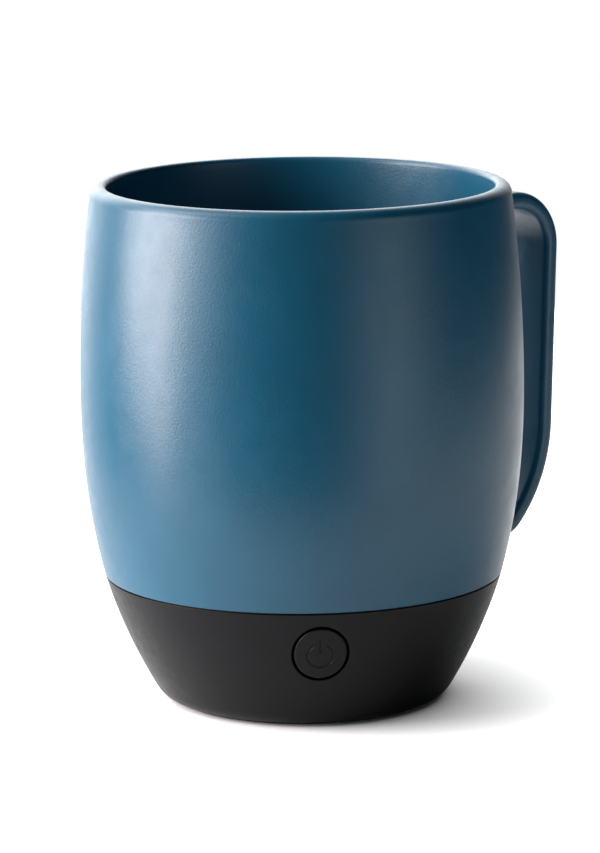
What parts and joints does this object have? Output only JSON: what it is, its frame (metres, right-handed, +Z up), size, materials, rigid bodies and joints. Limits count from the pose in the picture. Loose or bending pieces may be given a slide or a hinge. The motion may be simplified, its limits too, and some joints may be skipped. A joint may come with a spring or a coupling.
{
  "type": "self heating mug",
  "caption": "Barrel-shaped double wall steel mug with a strap handle and a battery heated plastic base, with a push button and charging contacts.",
  "frame": {"origin": "centre of the foot, on the plane that the mug stands on", "axes": "+Z up along the mug's axis, +X out through the middle of the handle"},
  "size_m": [0.1157, 0.095, 0.1113],
  "materials": {
    "blue_powder_coat": "fine matt powder coat with a soft sheen",
    "charcoal_plastic": "fine matt texture",
    "black_plastic": "plain moulded",
    "black_silicone": "soft, matt",
    "bare_steel": "plain drawn steel",
    "bare_aluminium": "plain rolled",
    "plated_brass": "bright plating",
    "amber_film": "polyimide film",
    "white_insulation": "pressed fibre",
    "green_board": "solder mask",
    "blue_cell_sleeve": "shrink sleeve",
    "red_lead": "silicone insulation",
    "pale_lens": "moulded nylon or lens"
  },
  "bodies": {
    "mug": {"outer_shell": "blue_powder_coat", "inner_cup": "blue_powder_coat", "handle": "blue_powder_coat", "closing_ring": "bare_steel", "seam_gasket": "black_silicone", "base_housing": "charcoal_plastic", "foot_ring": "black_silicone", "bottom_cover": "charcoal_plastic", "centre_contact": "plated_brass", "ring_contact": "plated_brass", "button_seal": "black_silicone", "tact_switch": "black_plastic", "switch_board": "green_board", "status_light_1": "pale_lens", "status_light_2": "pale_lens", "switch_screw_1": "bare_steel", "switch_screw_2": "bare_steel", "switch_ribbon": "amber_film", "battery_cell_1": "blue_cell_sleeve", "battery_cell_2": "blue_cell_sleeve", "battery_tab_negative": "bare_steel", "battery_tab_positive": "bare_steel", "battery_link": "bare_steel", "battery_tray": "black_plastic", "control_board": "green_board", "microcontroller": "black_plastic", "charge_controller": "black_plastic", "power_inductor": "black_plastic", "capacitor_1": "bare_aluminium", "capacitor_2": "bare_aluminium", "heater_socket": "pale_lens", "sensor_socket": "pale_lens", "heat_spreader": "bare_aluminium", "film_heater": "amber_film", "insulation_pad": "white_insulation", "clamp_plate": "bare_steel", "clamp_nut": "bare_steel", "temperature_sensor": "plated_brass", "thermal_cutout": "white_insulation", "heater_lead_1": "red_lead", "heater_lead_2": "red_lead", "sensor_lead": "white_insulation", "centre_contact_lead": "red_lead", "ring_contact_lead": "black_plastic", "cover_screw_1": "bare_steel", "board_screw_1": "bare_steel", "cover_screw_2": "bare_steel", "board_screw_2": "bare_steel", "cover_screw_3": "bare_steel", "board_screw_3": "bare_steel"},
    "button": {"power_button": "charcoal_plastic", "switch_plunger": "plated_brass"}
  },
  "joints": [
    {"name": "button_press", "type": "slide", "parent": "mug", "child": "button", "axis": [0.5736, 0.8192, 0], "range_m": [0, 0.0007], "stiffness_N_per_m": 1200, "springref_m": -0.0008}
  ]
}
